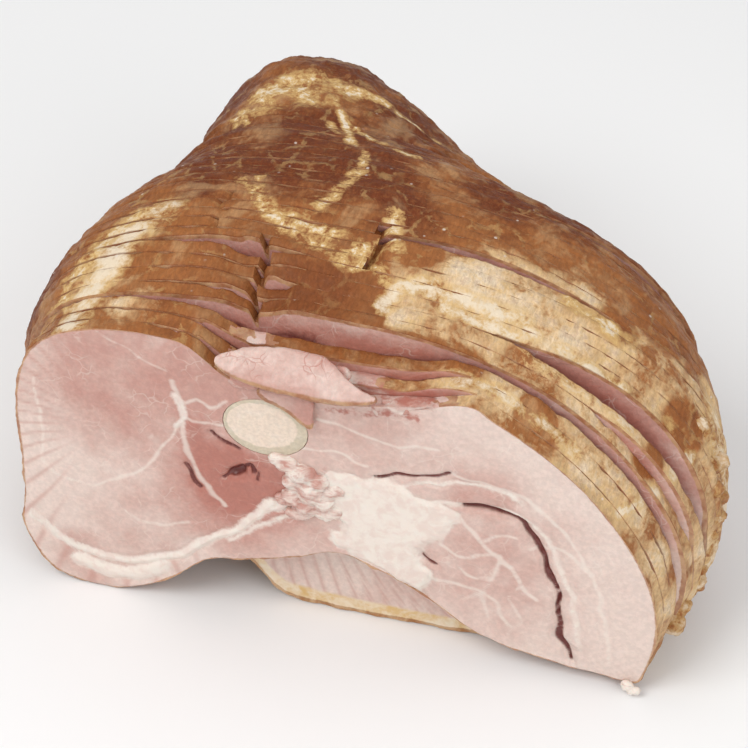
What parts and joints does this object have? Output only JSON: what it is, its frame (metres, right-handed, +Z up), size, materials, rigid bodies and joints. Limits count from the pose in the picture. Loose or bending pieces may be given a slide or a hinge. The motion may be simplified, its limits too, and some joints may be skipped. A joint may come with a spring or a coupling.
{
  "type": "spiral-sliced ham",
  "caption": "Bone-in half ham cut in thin slices round the leg bone and lying on its side, with a pale cut face, a browned rind and one slice folded forward over the face.",
  "frame": {"origin": "centre of the bounding box, on the surface the ham rests on", "axes": "+Z up; the cut face looks along -Y and the shank points to +Y; +X is to the right as seen facing the cut face"},
  "size_m": [0.2468, 0.215, 0.1358],
  "materials": {
    "sliced_meat": "moist pink cut meat with a browned rim",
    "rind": "browned rind with patches of pale fat",
    "bone": "sawn bone, dull"
  },
  "bodies": {
    "root": {"slice_01": "sliced_meat", "slice_02": "sliced_meat", "slice_03": "sliced_meat", "slice_04": "sliced_meat", "slice_05": "sliced_meat", "slice_06": "sliced_meat", "slice_07": "sliced_meat", "slice_08": "sliced_meat", "slice_09": "sliced_meat", "slice_10": "sliced_meat", "slice_11": "sliced_meat", "slice_12": "sliced_meat", "slice_13": "sliced_meat", "slice_14": "sliced_meat", "slice_15": "sliced_meat", "slice_16": "sliced_meat", "slice_17": "sliced_meat", "slice_18": "sliced_meat", "slice_19": "sliced_meat", "slice_20": "sliced_meat", "slice_21": "sliced_meat", "slice_22": "sliced_meat", "shank_end": "rind", "bone": "bone", "folded_slice": "sliced_meat", "second_slice": "sliced_meat"}
  },
  "joints": []
}
